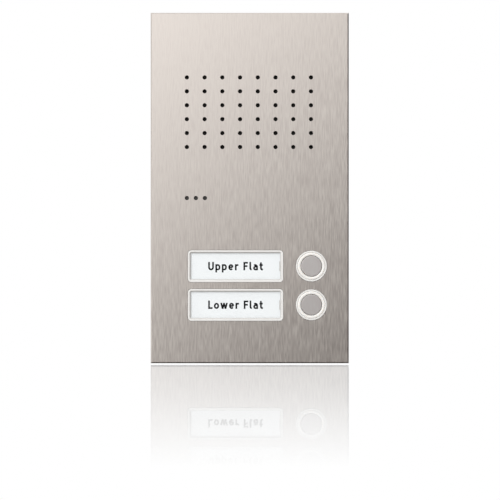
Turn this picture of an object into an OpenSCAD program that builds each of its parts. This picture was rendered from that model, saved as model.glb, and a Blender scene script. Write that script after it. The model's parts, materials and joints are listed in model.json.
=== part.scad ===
// Flush-mounted audio door station: a stainless front plate with a speaker grille, a
// microphone, two lit name fields and two lit bell buttons, and the wall box behind it.
// Millimetres. +Z up, the face looks along -Y, +X is to the right of a caller.
// The origin is the centre of the four wall screw holes, on the back of the wall box.
// Depths are counted from the back of the front plate, growing towards the wall box floor.

/* [Front plate] */
// Width of the front plate
plate_w = 130; // [128:1:160]
// Height of the front plate
plate_h = 230; // [228:1:280]
// Thickness of the front plate
plate_t = 3; // [2.5:0.5:4]
// Size of the bevel around the front edge
plate_bevel = 0.8; // [0.3:0.1:1.5]
// How far the plate stands past the wall box at the left and right
side_overlap = 6; // [5:0.5:8]
// How far the plate stands past the wall box at the top and bottom
end_overlap = 9; // [7:0.5:12]
// Thickness of the sealing ring between the plate and the wall
gasket_t = 1.5; // [1:0.5:3]

/* [Wall box] */
// Depth of the wall box
box_depth = 48; // [46:1:70]
// Thickness of the side walls
box_wall = 2; // [1.5:0.25:3]
// Thickness of the floor that is screwed to the masonry
box_floor = 2.5; // [2:0.5:4]
// Outer corner radius
box_corner_r = 4; // [3:0.5:8]
// Distance between the wall screws, across
wall_screw_across = 80; // [60:1:90]
// Distance between the wall screws, up and down
wall_screw_up = 170; // [140:1:180]
// Diameter of the wall screw holes
wall_screw_d = 5; // [4:0.5:6]
// Diameter of the cable bore through the grommet
cable_bore_d = 8; // [6:0.5:10]

/* [Speaker] */
// Holes across the grille
grille_across = 8; // [4:1:9]
// Holes up and down the grille
grille_up = 6; // [3:1:7]
// Distance between grille holes, across
grille_pitch_x = 11.63; // [6:0.01:12]
// Distance between grille holes, up and down
grille_pitch_z = 9.13; // [5:0.01:10]
// Diameter of the grille and microphone holes
sound_hole_d = 2.8; // [1.5:0.1:3.5]
// Place of the grille centre, across
grille_x = -0.5; // [-4:0.1:4]
// Height of the grille centre above the plate centre
grille_z = 49.7; // [46:0.1:54]
// Diameter of the speaker
speaker_d = 57; // [45:1:60]
// Distance between the microphone holes
mic_pitch = 5.9; // [5:0.1:6.5]
// Height of the microphone holes above the plate centre
mic_z = -6.6; // [-10:0.1:-4]

/* [Name fields] */
// Width of a name field
field_w = 62.5; // [55:0.5:64]
// Height of a name field
field_h = 20.9; // [16:0.1:22]
// Corner radius of a name field
field_r = 2.3; // [1.5:0.1:4]
// Width of the flat rim around a name field
field_rim = 1.05; // [0.6:0.05:1.5]
// Width of the sloped wall inside the rim
field_slope = 0.9; // [0.5:0.1:1.2]
// Place of the name fields, across
field_x = -9.3; // [-14:0.1:-6]
// Height of the upper row above the plate centre
row_z = -51.3; // [-54:0.1:-48]
// Space between the two name fields
row_gap = 4.5; // [4:0.1:6]
// Thickness of the clear window
lens_t = 1.2; // [0.8:0.1:2]
// Thickness of the name card
card_t = 0.3; // [0.2:0.05:0.5]

/* [Bell buttons] */
// Place of the buttons, across
button_x = 40.5; // [38:0.1:42]
// Radius of the outer bezel
bezel_r = 10.2; // [9.5:0.1:11]
// Outer radius of the light ring
ring_r = 9; // [8.6:0.1:9.3]
// Inner radius of the light ring
ring_bore_r = 7; // [6.5:0.1:7.2]
// Height of the rounded front of the light ring
ring_crown = 0.5; // [0.2:0.1:1]
// Gap between the cap and the light ring
cap_gap = 0.2; // [0.15:0.05:0.5]
// How far a button travels
button_travel = 1.2; // [0.8:0.1:1.5]
// Radius of the plunger stem
stem_r = 2; // [1.5:0.1:2.2]

/* [Module] */
// Gap between the module and the wall box
module_gap = 2; // [1.5:0.5:3]
// Thickness of the carrier's side walls
skirt_t = 2; // [1.5:0.5:3]
// Thickness of the carrier's inner wall
carrier_t = 2.5; // [2:0.25:3]
// Thickness of the circuit board
board_t = 1.6; // [1.2:0.1:2]
// Room for parts behind the circuit board
board_room = 10.4; // [10.2:0.2:14]
// Thickness of the rear cover
cover_t = 2; // [1.5:0.25:3]

/* [Hidden] */
eps = 0.01;
fine = 64;

// Clearances
slip = 0.05;        // round pieces that turn or slide in a bore, on the radius
seat_gap = 0.1;     // pieces of one assembly that are dropped into each other
field_gap = 0.2;    // between the plate and what fills its cut-outs
lift_gap = 0.3;     // between pieces that part when the cover or the front is pulled off

// Places from the back of the wall box
front_y = -(box_depth + gasket_t);
function y_at(depth) = front_y + depth;

// Wall box
box_w = plate_w - 2 * side_overlap;
box_h = plate_h - 2 * end_overlap;
box_in_w = box_w - 2 * box_wall;
box_in_h = box_h - 2 * box_wall;
score_depth = min(0.7, box_wall / 2.5);
score_w = 0.8;
conduit_r = 9.7;
conduit_y = -26;
key_groove_w = 2;
key_groove_pitch = 13;
mark_depth = 0.5;
gasket_inset = 1;
gasket_gap = 1;

// Depth stack of the module
seal_t = 0.6;
flange_t = 1.6;
wall_d0 = seal_t + flange_t + 1.3;
wall_d1 = wall_d0 + carrier_t;
guide_d0 = wall_d1 + 2;
guide_t = 1.5;
guide_d1 = guide_d0 + guide_t;
stem_end = guide_d1 + 1.5;
switch_out = button_travel + 0.4;
switch_h = 3.4;
board_d0 = stem_end + switch_out + switch_h;
board_d1 = board_d0 + board_t;
cover_d0 = board_d1 + board_room;
cover_d1 = cover_d0 + cover_t;

// Carrier
carrier_w = box_in_w - 2 * module_gap;
carrier_h = box_in_h - 2 * module_gap;
carrier_r = max(1, box_corner_r - box_wall);

// Name cover stack
// Low fields can't bring the rows closer than the button flanges allow
flange_lip = 2.2;
row_pitch = max(field_h + row_gap, 2 * (bezel_r + flange_lip + seat_gap));
rows = [row_z, row_z - row_pitch];
slope_d = 0.9;
lens_d0 = -plate_t + slope_d;
lens_d1 = lens_d0 + lens_t;
card_d0 = lens_d1 + slip;
card_d1 = card_d0 + card_t;
frame_d1 = card_d1 + 1.4;
diffuser_d0 = card_d1 + 0.2;
diffuser_t = 1.8;
diffuser_d1 = diffuser_d0 + diffuser_t;
frame_side = 0.75;
pocket_w = field_w - 2 * frame_side;
pocket_h = field_h - 2 * frame_side;
pocket_r = max(0.4, field_r - frame_side);
diffuser_w = pocket_w - 2 * lift_gap;
diffuser_h = pocket_h - 2 * lift_gap;
tab_w = 0.6;
tab_h = 6.4;
light_window_w = 0.62 * field_w;
light_window_h = diffuser_h - 5;
leg_w = 6;
leg_t = frame_side;
leg_end = wall_d1 + 2.4;
notch_d0 = leg_end - 1.5;
notch_d1 = leg_end - 0.6;
notch_depth = 0.3;
clip_t = 0.3;

// Fixing screws behind the name cards, one in each row, at opposite ends
fixing_r = 2;
fixing_head_r = 3.4;
fixing_head_h = 2.2;
fixing_off = field_w / 2 - 5.75;
fixing_spots = [[field_x - fixing_off, rows[0]], [field_x + fixing_off, rows[1]]];
fixing_hole_r = fixing_r + 0.3;
fixing_tip_y = -12;
post_r = 4.5;
post_y = y_at(cover_d1) + 1.5;
insert_r = 2.9;
insert_len = 8;

// Buttons
bezel_out = 0.1;
plate_hole_r = bezel_r + 0.15;
bezel_flange_r = bezel_r + flange_lip;
barrel_r = bezel_r - 0.6;
ring_shelf = 1.4;
ring_edge = 2.8;
ring_tube_r = ring_bore_r + 0.85;
cap_r = ring_bore_r - cap_gap;
cap_round = 0.35;
cap_front = plate_t + 0.1;
cap_end = 3;
cap_top_t = 1.5;
cap_wall = 1.2;
disc_end = 1.5;
barb_r = stem_r + 0.7;
actuator_r = 1.6;
switch_side = 6;
spring_turns = 5;
spring_wire_r = 0.3;
spring_r = stem_r + 1.5;

// Circuit board
board_w = 98;
board_top = 8;
board_bottom = -91;
board_h = board_top - board_bottom;
board_z = (board_top + board_bottom) / 2;
board_posts = [[-43, 2.5], [43, 2.5], [-28, -87], [28, -87]];

// Studs welded to the plate, with their nuts
stud_r = 1.5;
stud_len = wall_d1 + 3.2;
nut_t = 2.4;
nut_r = 3;
stud_x = carrier_w / 2 - skirt_t - 4.5;
stud_z = carrier_h / 2 - skirt_t - 4.5;
studs = [for (x = [-stud_x, stud_x], z = [stud_z, 14, -stud_z]) [x, z]];

// Cover posts and the one kind of small screw used in the module
cover_posts = [for (x = [-30, 30], z = [-1, 1]) [x, z * (carrier_h / 2 - skirt_t - 3.4)]];
screw_r = 1.2;
screw_len = 6;
screw_head_r = 2.4;
screw_head_h = 1.5;

// Speaker
speaker_r = speaker_d / 2;
grille_w = (grille_across - 1) * grille_pitch_x;
grille_h = (grille_up - 1) * grille_pitch_z;
screen_w = grille_w + sound_hole_d + 4;
screen_h = grille_h + sound_hole_d + 4;
screen_t = 0.4;
foam_w = 2.4;
speaker_rim_d1 = wall_d1 + 1.4;
magnet_r = 14;
magnet_d0 = wall_d1 + 9;
magnet_d1 = wall_d1 + 18;
clamp_r = speaker_r + 4;
clamp_turns = [45, 135, 225, 315];

// Microphone, in line with the first column of the grille
mic_x = grille_x - grille_w / 2;
mic_mid_x = mic_x + mic_pitch;
mic_plug_d0 = -plate_t + 1;
mic_plug_base = 0.8;
capsule_r = 4.85;
capsule_d0 = 2.6;
capsule_d1 = 7.8;
boot_r = 6.4;
boot_d1 = capsule_d1 + 1.2;

// Connections
terminal_x = -8;
terminal_w = 25;
terminal_h = 11;
terminal_z = board_bottom + terminal_h / 2 + 1;
terminal_poles = 4;
terminal_pitch = 5.5;
terminal_window_w = terminal_w + 2;
terminal_window_z0 = -(carrier_h / 2 - skirt_t - 1.5);
terminal_window_z1 = terminal_z + terminal_h / 2 + 1;
trimmer_spots = [[24, -36], [34, -36]];
trimmer_r = 2.2;
trimmer_side = 7;
trimmer_h = 6;
connector_x = -6;
connector_z = board_top - 4.5;

// Cable grommet in the bottom wall of the wall box
grommet_x = 0;
grommet_y = -10.5;
grommet_hole_r = 7;
grommet_lip_r = 7.8;
grommet_lip_t = 0.9;
grommet_bore_r = cable_bore_d / 2;

// Spring clips on the top of the module
clip_x = [-26, 26];
clip_w = 12;
clip_strip = 0.4;
catch_h = 0.8;

// Speaker leads, from the tags on the basket down to the plug on the board
lead_r = 0.6;
lead_steps = 14;
tag_x = 2.5;
tag_z = grille_z - speaker_r + 5.5;
tag_d1 = wall_d1 + 4;
pin_x = 1.25;
plug_d = board_d1 + 4;
function bezier(a, b, c, d, t) =
    pow(1 - t, 3) * a + 3 * t * pow(1 - t, 2) * b + 3 * t * t * (1 - t) * c + pow(t, 3) * d;
function lead_route(side) = [for (i = [0 : lead_steps]) bezier(
    [grille_x + side * tag_x, tag_d1 + seat_gap, tag_z],
    [grille_x + side * tag_x, tag_d1 + 9, tag_z],
    [connector_x + side * pin_x, plug_d, connector_z + 13],
    [connector_x + side * pin_x, plug_d, connector_z + 1],
    i / lead_steps
)];

// ---- Shared shapes ----

// Flat rounded rectangle, centred
module rounded(w, h, r) {
    square([w - 2 * r, h], center = true);
    square([w, h - 2 * r], center = true);
    for (x = [-1, 1], z = [-1, 1])
        translate([x * (w / 2 - r), z * (h / 2 - r)]) circle(r = r, $fn = fine);
}

// Stands a flat shape up in the X-Z plane, between two depths
module slab(d0, d1) {
    translate([0, y_at(d1), 0]) rotate([90, 0, 0]) linear_extrude(d1 - d0) children();
}

// Round bar along the depth, between two depths
module rod(r, d0, d1) {
    translate([0, y_at(d1), 0]) rotate([90, 0, 0]) cylinder(r = r, h = d1 - d0, $fn = fine);
}

// Turned piece: its outline is given as [radius, depth] around a line along the depth
module turned() {
    translate([0, front_y, 0]) rotate([-90, 0, 0]) rotate_extrude($fn = 96) children();
}

module at(spot) {
    translate([spot[0], 0, spot[1]]) children();
}

module at_each(spots) {
    for (spot = spots) at(spot) children();
}

// Tube that follows a list of points, closed at both ends
function unit(v) = v / norm(v);
function heading(route, i) =
    unit(route[min(i + 1, len(route) - 1)] - route[max(i - 1, 0)]);
function ring(centre, along, r, sides, side_dir) =
    let (u = unit(side_dir - (side_dir * along) * along), v = cross(along, u))
    [for (k = [0 : sides - 1]) centre + r * (cos(360 * k / sides) * u + sin(360 * k / sides) * v)];

module tube(route, r, sides, side_dir) {
    n = len(route);
    points = [for (i = [0 : n - 1]) each ring(route[i], heading(route, i), r, sides, side_dir)];
    walls = [
        for (i = [0 : n - 2], k = [0 : sides - 1])
            let (a = i * sides + k, b = i * sides + (k + 1) % sides)
            each [[a, b, b + sides], [a, b + sides, a + sides]]
    ];
    first = [for (k = [sides - 1 : -1 : 0]) k];
    last = [for (k = [0 : sides - 1]) (n - 1) * sides + k];
    polyhedron(points = points, faces = concat([first], walls, [last]), convexity = 6);
}

// ---- Wall box ----

module box_shell() {
    rotate([90, 0, 0]) linear_extrude(box_depth) rounded(box_w, box_h, box_corner_r);
}

module box_room() {
    translate([0, -box_floor, 0]) rotate([90, 0, 0])
        linear_extrude(box_depth) rounded(box_in_w, box_in_h, box_corner_r - box_wall);
}

module box_posts() {
    for (spot = fixing_spots)
        translate([spot[0], -box_floor + eps, spot[1]]) rotate([90, 0, 0])
            cylinder(r = post_r, h = -box_floor - post_y + eps, $fn = fine);
}

// Ribs inside the top wall that the spring clips snap behind
module box_catches() {
    for (x = clip_x)
        translate([x - clip_w / 2 - 1, y_at(9.5), box_in_h / 2 - catch_h])
            cube([clip_w + 2, 2, catch_h + eps]);
}

// Ring scored into a face that looks along +Z, where a conduit can be knocked through
module scored_ring() {
    translate([0, 0, -score_depth]) difference() {
        cylinder(r = conduit_r + score_w, h = score_depth + 1, $fn = fine);
        translate([0, 0, -1]) cylinder(r = conduit_r, h = score_depth + 3, $fn = fine);
    }
}

module knock_outs() {
    for (x = [-28, 28], up = [-1, 1])
        translate([x, conduit_y, up * box_h / 2]) rotate([90 - up * 90, 0, 0]) scored_ring();
    for (z = [-56, 56], side = [-1, 1])
        translate([side * box_w / 2, conduit_y, z]) rotate([0, side * 90, 0]) scored_ring();
    for (z = [-48, 48]) translate([0, 0, z]) rotate([-90, 0, 0]) scored_ring();
}

// Grooves around the outside that plaster keys into
module key_grooves() {
    for (y = [-key_groove_pitch : -key_groove_pitch : -box_depth + 6])
        translate([0, y + key_groove_w / 2, 0]) rotate([90, 0, 0]) linear_extrude(key_groove_w)
            difference() {
                square([box_w + 2, box_h + 2], center = true);
                rounded(box_w - 2 * score_depth, box_h - 2 * score_depth, box_corner_r);
            }
}

// Centre marks and an arrow for the top, sunk into the back
module back_marks() {
    translate([0, 1, 0]) rotate([90, 0, 0]) linear_extrude(1 + mark_depth) {
        for (up = [-1, 1]) translate([0, up * (box_h / 2 - 9)]) square([0.8, 10], center = true);
        for (side = [-1, 1]) translate([side * (box_w / 2 - 9), 0]) square([10, 0.8], center = true);
        translate([0, 12]) polygon([[-7, 0], [0, 10], [7, 0], [2.5, 0], [2.5, -14], [-2.5, -14], [-2.5, 0]]);
    }
}

module wall_box() {
    color("darkslategray") difference() {
        union() {
            difference() {
                box_shell();
                box_room();
            }
            box_posts();
            box_catches();
        }
        for (x = [-1, 1], z = [-1, 1])
            translate([x * wall_screw_across / 2, 1, z * wall_screw_up / 2]) rotate([90, 0, 0])
                cylinder(d = wall_screw_d, h = box_floor + 2, $fn = fine);
        for (spot = fixing_spots) translate([spot[0], 0, spot[1]]) {
            translate([0, post_y + insert_len, 0]) rotate([90, 0, 0])
                cylinder(r = insert_r, h = insert_len + 1, $fn = fine);
            translate([0, -box_floor - 1.5, 0]) rotate([90, 0, 0])
                cylinder(r = fixing_hole_r, h = 40, $fn = fine);
        }
        translate([grommet_x, grommet_y, -box_h / 2 - 1])
            cylinder(r = grommet_hole_r, h = box_wall + 2, $fn = fine);
        knock_outs();
        key_grooves();
        back_marks();
    }
}

module box_inserts() {
    color("goldenrod") for (spot = fixing_spots)
        translate([spot[0], post_y + insert_len, spot[1]]) rotate([90, 0, 0]) difference() {
            cylinder(r = insert_r, h = insert_len, $fn = fine);
            translate([0, 0, -1]) cylinder(r = fixing_r + slip, h = insert_len + 2, $fn = fine);
        }
}

module cable_grommet() {
    color("dimgray") translate([grommet_x, grommet_y, -box_h / 2]) difference() {
        union() {
            translate([0, 0, -grommet_lip_t])
                cylinder(r = grommet_lip_r, h = grommet_lip_t, $fn = fine);
            cylinder(r = grommet_hole_r, h = box_wall, $fn = fine);
            translate([0, 0, box_wall])
                cylinder(r = grommet_lip_r, h = grommet_lip_t, $fn = fine);
        }
        translate([0, 0, -5]) cylinder(r = grommet_bore_r, h = 20, $fn = fine);
    }
}

// ---- Front plate ----

// Outline of the plate seen edge-on, with its front corners bevelled
module bevelled_edge(w) {
    b = plate_bevel;
    polygon([
        [-w / 2, 0], [w / 2, 0], [w / 2, -plate_t + b],
        [w / 2 - b, -plate_t], [-w / 2 + b, -plate_t], [-w / 2, -plate_t + b]
    ]);
}

module plate_blank() {
    translate([0, front_y, 0]) intersection() {
        translate([0, 0, -plate_h / 2]) linear_extrude(plate_h) bevelled_edge(plate_w);
        translate([-plate_w / 2, 0, 0]) rotate([90, 0, 90])
            linear_extrude(plate_w) rotate(-90) bevelled_edge(plate_h);
    }
}

module sound_holes() {
    for (i = [0 : grille_across - 1], k = [0 : grille_up - 1])
        translate([grille_x - grille_w / 2 + i * grille_pitch_x, 0,
                   grille_z - grille_h / 2 + k * grille_pitch_z])
            rod(sound_hole_d / 2, -plate_t - 1, 1);
    for (i = [0 : 2])
        translate([mic_x + i * mic_pitch, 0, mic_z]) rod(sound_hole_d / 2, -plate_t - 1, 1);
}

module front_plate() {
    color("silver") difference() {
        plate_blank();
        sound_holes();
        for (z = rows) {
            translate([button_x, 0, z]) rod(plate_hole_r, -plate_t - 1, 1);
            translate([field_x, 0, z]) slab(-plate_t - 1, 1)
                rounded(field_w + 2 * field_gap, field_h + 2 * field_gap, field_r + field_gap);
        }
    }
}

module plate_studs() {
    color("lightgray") at_each(studs) rod(stud_r, 0, stud_len);
}

module plate_nuts() {
    color("gainsboro") at_each(studs) difference() {
        translate([0, y_at(wall_d1 + nut_t), 0]) rotate([90, 0, 0])
            cylinder(r = nut_r, h = nut_t, $fn = 6);
        rod(stud_r, wall_d1 - 1, wall_d1 + nut_t + 1);
    }
}

module plate_gasket() {
    color("black") slab(0, gasket_t) difference() {
        square([plate_w - 2 * gasket_inset, plate_h - 2 * gasket_inset], center = true);
        rounded(box_w + 2 * gasket_gap, box_h + 2 * gasket_gap, box_corner_r);
    }
}

// ---- Carrier and rear cover ----

module carrier_skirt() {
    slab(0, cover_d0) difference() {
        rounded(carrier_w, carrier_h, carrier_r);
        rounded(carrier_w - 2 * skirt_t, carrier_h - 2 * skirt_t, 1);
    }
}

module carrier_wall() {
    slab(wall_d0, wall_d1) rounded(carrier_w - skirt_t, carrier_h - skirt_t, 1);
}

// Raised ledges that carry the diffusers close behind the name cards
module diffuser_ledges() {
    for (z = rows) translate([field_x, 0, z]) slab(diffuser_d1, wall_d0 + eps) difference() {
        rounded(diffuser_w, diffuser_h, pocket_r);
        square([light_window_w, light_window_h], center = true);
    }
}

// Collars that press the bezels forward against their seals
module bezel_collars() {
    for (z = rows) translate([button_x, 0, z]) difference() {
        rod(bezel_flange_r, seal_t + flange_t, wall_d0 + eps);
        rod(bezel_r + 0.5, seal_t, wall_d0 + 1);
    }
}

module carrier_posts() {
    at_each(studs) rod(stud_r + 2, 0, wall_d0 + eps);
    at_each(board_posts) rod(screw_r + 1.8, wall_d1 - eps, board_d0);
    at_each(cover_posts) rod(screw_r + 1.8, wall_d1 - eps, cover_d0);
    translate([grille_x, 0, grille_z]) for (a = clamp_turns)
        rotate([0, a, 0]) translate([clamp_r, 0, 0])
            rod(screw_r + 1.6, wall_d1 - eps, speaker_rim_d1);
}

module carrier_cuts() {
    at_each(studs) rod(stud_r + seat_gap, -1, wall_d1 + 1);
    at_each(board_posts) rod(screw_r, board_d1 - screw_len, board_d0 + 1);
    at_each(cover_posts) rod(screw_r, cover_d1 - screw_len, cover_d0 + 1);
    at_each(fixing_spots) {
        rod(fixing_hole_r, wall_d0 - 1, wall_d1 + 1);
        rod(fixing_head_r + 0.5, 0, wall_d0);
    }
    translate([grille_x, 0, grille_z]) {
        rod(speaker_r - 3, wall_d0 - 1, wall_d1 + 1);
        for (a = clamp_turns) rotate([0, a, 0]) translate([clamp_r, 0, 0])
            rod(screw_r, wall_d0 + 0.8, speaker_rim_d1 + 1);
    }
    translate([mic_mid_x, 0, mic_z]) rod(boot_r - 0.6, wall_d0 - 1, wall_d1 + 1);
    for (z = rows) {
        translate([button_x, 0, z]) rod(barrel_r + seat_gap + 0.1, wall_d0 - 1, wall_d1 + 1);
        translate([field_x, 0, z]) {
            slab(wall_d0 - 1, wall_d1 + 1) square([light_window_w, light_window_h], center = true);
            for (side = [-1, 1]) translate([side * (field_w / 2 - leg_t / 2), 0, 0])
                slab(wall_d0 - 1, wall_d1 + 1)
                    square([leg_t + 2 * lift_gap, leg_w + 2 * lift_gap], center = true);
        }
    }
}

module front_carrier() {
    color("slategray") difference() {
        union() {
            carrier_skirt();
            carrier_wall();
            diffuser_ledges();
            bezel_collars();
            carrier_posts();
        }
        carrier_cuts();
    }
}

module rear_cover() {
    color("darkgray") difference() {
        slab(cover_d0, cover_d1) rounded(carrier_w, carrier_h, carrier_r);
        at_each(cover_posts) rod(screw_r + seat_gap, cover_d0 - 1, cover_d1 + 1);
        at_each(fixing_spots) rod(fixing_hole_r, cover_d0 - 1, cover_d1 + 1);
        at_each(trimmer_spots) rod(trimmer_r + 0.4, cover_d0 - 1, cover_d1 + 1);
        translate([terminal_x, 0, (terminal_window_z0 + terminal_window_z1) / 2])
            slab(cover_d0 - 1, cover_d1 + 1)
                square([terminal_window_w, terminal_window_z1 - terminal_window_z0], center = true);
        for (i = [-4 : 4]) translate([grille_x + 5 * i, 0, grille_z])
            slab(cover_d0 - 1, cover_d1 + 1) rounded(2, 30, 0.9);
    }
}

// Pan-head screw whose head rests at one depth and whose tip is at another
module small_screw(head_d, tip_d) {
    rod(screw_head_r, head_d, head_d + screw_head_h);
    rod(screw_r - slip, tip_d, head_d + eps);
}

module housing_screws() {
    color("lightsteelblue") {
        at_each(board_posts) small_screw(board_d1, board_d1 - screw_len + 0.3);
        at_each(cover_posts) small_screw(cover_d1, cover_d1 - screw_len + 0.3);
        translate([grille_x, 0, grille_z]) for (a = clamp_turns)
            rotate([0, a, 0]) translate([clamp_r, 0, 0])
                small_screw(speaker_rim_d1 + 1, wall_d0 + 1);
    }
}

module fixing_screws() {
    color("silver") at_each(fixing_spots) difference() {
        union() {
            rod(fixing_head_r, wall_d0 - fixing_head_h, wall_d0);
            rod(fixing_r, wall_d0 - eps, fixing_tip_y - front_y);
        }
        translate([0, y_at(wall_d0 - 0.9), 0]) rotate([90, 0, 0])
            cylinder(r = 1.45, h = 5, $fn = 6);
    }
}

// Leaf springs whose humps snap behind the ribs of the wall box
module top_clips() {
    z0 = carrier_h / 2;
    rise = module_gap - 0.35 - clip_strip;
    t = clip_strip;
    color("silver") for (x = clip_x) translate([x - clip_w / 2, front_y, z0])
        rotate([90, 0, 90]) linear_extrude(clip_w) polygon([
            [5, 0], [12.2, 0], [15, rise], [18, rise], [22, 0], [25, 0],
            [25, t], [22.2, t], [18.2, rise + t], [14.8, rise + t], [12, t], [5, t]
        ]);
}

// ---- Speaker ----

module speaker_screen() {
    color([0.1, 0.1, 0.11]) translate([grille_x, 0, grille_z])
        slab(0, screen_t) square([screen_w, screen_h], center = true);
}

module speaker_gasket() {
    color([0.15, 0.15, 0.15]) translate([grille_x, 0, grille_z]) slab(0, wall_d0) difference() {
        rounded(screen_w + 2 * foam_w, screen_h + 2 * foam_w, 2);
        square([screen_w, screen_h], center = true);
    }
}

module speaker_basket() {
    r = speaker_r;
    d = wall_d1;
    t = 0.8;
    color("dimgray") translate([grille_x, 0, grille_z]) difference() {
        union() {
            turned() polygon([
                [r - 4, d + 0.6], [r - 1, d + 0.6], [r - 1, d], [r, d],
                [r, speaker_rim_d1], [r - 3.2, speaker_rim_d1], [magnet_r, magnet_d0],
                [4, magnet_d0], [4, magnet_d0 - t], [magnet_r - 0.5, magnet_d0 - t],
                [r - 4, speaker_rim_d1 - 0.2]
            ]);
            for (x = [-tag_x, tag_x]) translate([x, 0, tag_z - grille_z])
                slab(d + 1.2, tag_d1) square([1.6, 5], center = true);
        }
        for (a = [0 : 90 : 270]) rotate([0, a, 0]) translate([(r + magnet_r) / 2 - 0.7, 0, 0])
            rod(3.4, d + 1.6, magnet_d0 - 1.5);
    }
}

module speaker_cone() {
    r = speaker_r;
    d = wall_d1;
    roll = 1.7;
    roll_at = r - 5.6;
    color([0.2, 0.2, 0.22]) translate([grille_x, 0, grille_z]) turned() {
        translate([roll_at + roll - 0.3, d + 0.05]) square([r - 1.3 - roll_at - roll + 0.3, 0.5]);
        intersection() {
            translate([roll_at, d + 0.55]) difference() {
                circle(r = roll, $fn = fine);
                circle(r = roll - 0.45, $fn = fine);
            }
            translate([0, d + 0.05 - 2 * roll]) square([2 * r, 2 * roll + 0.5]);
        }
        polygon([
            [roll_at - roll, d + 0.05], [roll_at - roll + 0.5, d + 0.05],
            [roll_at - roll + 0.5, d + 0.55], [7.4, d + 6.4], [6.9, d + 6], [roll_at - roll, d + 0.1]
        ]);
        intersection() {
            translate([0, d + 10.5]) difference() {
                circle(r = 8.6, $fn = fine);
                circle(r = 8.1, $fn = fine);
            }
            translate([0, d + 1]) square([7.3, 5.3]);
        }
    }
}

module speaker_magnet() {
    color([0.35, 0.36, 0.38]) translate([grille_x, 0, grille_z]) turned() polygon([
        [0, magnet_d0], [magnet_r, magnet_d0], [magnet_r, magnet_d0 + 6],
        [magnet_r - 1, magnet_d0 + 6], [magnet_r - 1, magnet_d1 - 0.5],
        [magnet_r - 1.5, magnet_d1], [0, magnet_d1]
    ]);
}

module speaker_clamps() {
    color("lightgray") translate([grille_x, 0, grille_z]) for (a = clamp_turns)
        rotate([0, a, 0]) difference() {
            translate([clamp_r - 1.6, 0, 0]) slab(speaker_rim_d1, speaker_rim_d1 + 1)
                rounded(8.4, 6, 1.2);
            translate([clamp_r, 0, 0]) rod(screw_r, speaker_rim_d1 - 1, speaker_rim_d1 + 2);
        }
}

module speaker_leads() {
    color("firebrick") for (side = [-1, 1])
        translate([0, front_y, 0]) tube(lead_route(side), lead_r, 8, [1, 0, 0]);
}

// ---- Microphone ----

// Porous plug with three nubs that stand in the plate's holes
module microphone_plug() {
    color("gray") {
        for (i = [0 : 2]) translate([mic_x + i * mic_pitch, 0, mic_z])
            rod(sound_hole_d / 2 - 0.05, mic_plug_d0, eps);
        translate([mic_mid_x, 0, mic_z]) slab(0, mic_plug_base)
            rounded(2 * mic_pitch + 4.4, 4.4, 2);
    }
}

module microphone_boot() {
    color([0.12, 0.12, 0.12]) translate([mic_mid_x, 0, mic_z]) difference() {
        union() {
            slab(0, wall_d0) rounded(2 * mic_pitch + 7.2, 2 * boot_r, 3);
            rod(boot_r - 0.7, wall_d0 - eps, boot_d1);
        }
        slab(-1, capsule_d0 - 0.8) rounded(2 * mic_pitch + 4.6, 4.6, 2);
        rod(capsule_r, capsule_d0, boot_d1 - 0.6);
        rod(3, capsule_d0 - 2, capsule_d0 + 1);
        rod(3.6, boot_d1 - 2, boot_d1 + 1);
    }
}

module microphone_capsule() {
    color("silver") translate([mic_mid_x, 0, mic_z]) {
        rod(capsule_r, capsule_d0, capsule_d1);
        for (x = [-1.27, 1.27]) translate([x, 0, 0]) rod(0.3, capsule_d1 - eps, board_d0);
    }
}

// ---- Circuit board ----

module main_board() {
    color("darkgreen") difference() {
        translate([0, 0, board_z]) slab(board_d0, board_d1) square([board_w, board_h], center = true);
        at_each(board_posts) rod(screw_r + seat_gap, board_d0 - 1, board_d1 + 1);
        at_each(fixing_spots) rod(fixing_hole_r + 0.3, board_d0 - 1, board_d1 + 1);
    }
}

// Flat chip with legs on the given sides, on the back of the board
module chip(w, h, t, legs_w, legs_h) {
    slab(board_d1 + 0.15, board_d1 + t) square([w, h], center = true);
    pitch = 1.27;
    for (i = [0 : legs_w - 1], s = [-1, 1])
        translate([(i - (legs_w - 1) / 2) * pitch, 0, s * (h / 2 + 0.5)])
            slab(board_d1, board_d1 + 0.5) square([0.45, 1.3], center = true);
    for (i = [0 : legs_h - 1], s = [-1, 1])
        translate([s * (w / 2 + 0.5), 0, (i - (legs_h - 1) / 2) * pitch])
            slab(board_d1, board_d1 + 0.5) square([1.3, 0.45], center = true);
}

module controller_chip() {
    color([0.1, 0.1, 0.1]) at([2, -38]) chip(10, 10, 1.6, 7, 7);
}

module amplifier_chip() {
    color([0.1, 0.1, 0.1]) at([-14, -10]) chip(5, 6.4, 1.7, 0, 5);
}

module capacitors() {
    color("midnightblue") at_each([[14, -8], [25, -8], [-38, -70]]) turned() polygon([
        [0, board_d1], [4, board_d1], [4, board_d1 + 1.2], [3.7, board_d1 + 1.5],
        [4, board_d1 + 1.8], [4, board_d1 + 8.8], [3.7, board_d1 + 9.2], [0, board_d1 + 9.2]
    ]);
}

module bus_coil() {
    color("sienna") at([-18, -62]) turned() polygon([
        [0, board_d1], [6.5, board_d1], [6.5, board_d1 + 1.2], [5.2, board_d1 + 1.2],
        [5.2, board_d1 + 6.4], [6.5, board_d1 + 6.4], [6.5, board_d1 + 7.6], [0, board_d1 + 7.6]
    ]);
}

module at_poles() {
    for (i = [0 : terminal_poles - 1])
        translate([terminal_x + (i - (terminal_poles - 1) / 2) * terminal_pitch, 0, terminal_z])
            children();
}

module terminal_block() {
    color("forestgreen") difference() {
        translate([terminal_x, 0, terminal_z]) slab(board_d1, cover_d0 - 0.4)
            square([terminal_w, terminal_h], center = true);
        at_poles() {
            rod(1.9, cover_d0 - 6, cover_d0 + 1);
            translate([0, y_at(board_d1 + 3.4), -terminal_h / 2 - 1])
                cylinder(r = 1.5, h = 8, $fn = fine);
        }
    }
}

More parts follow.
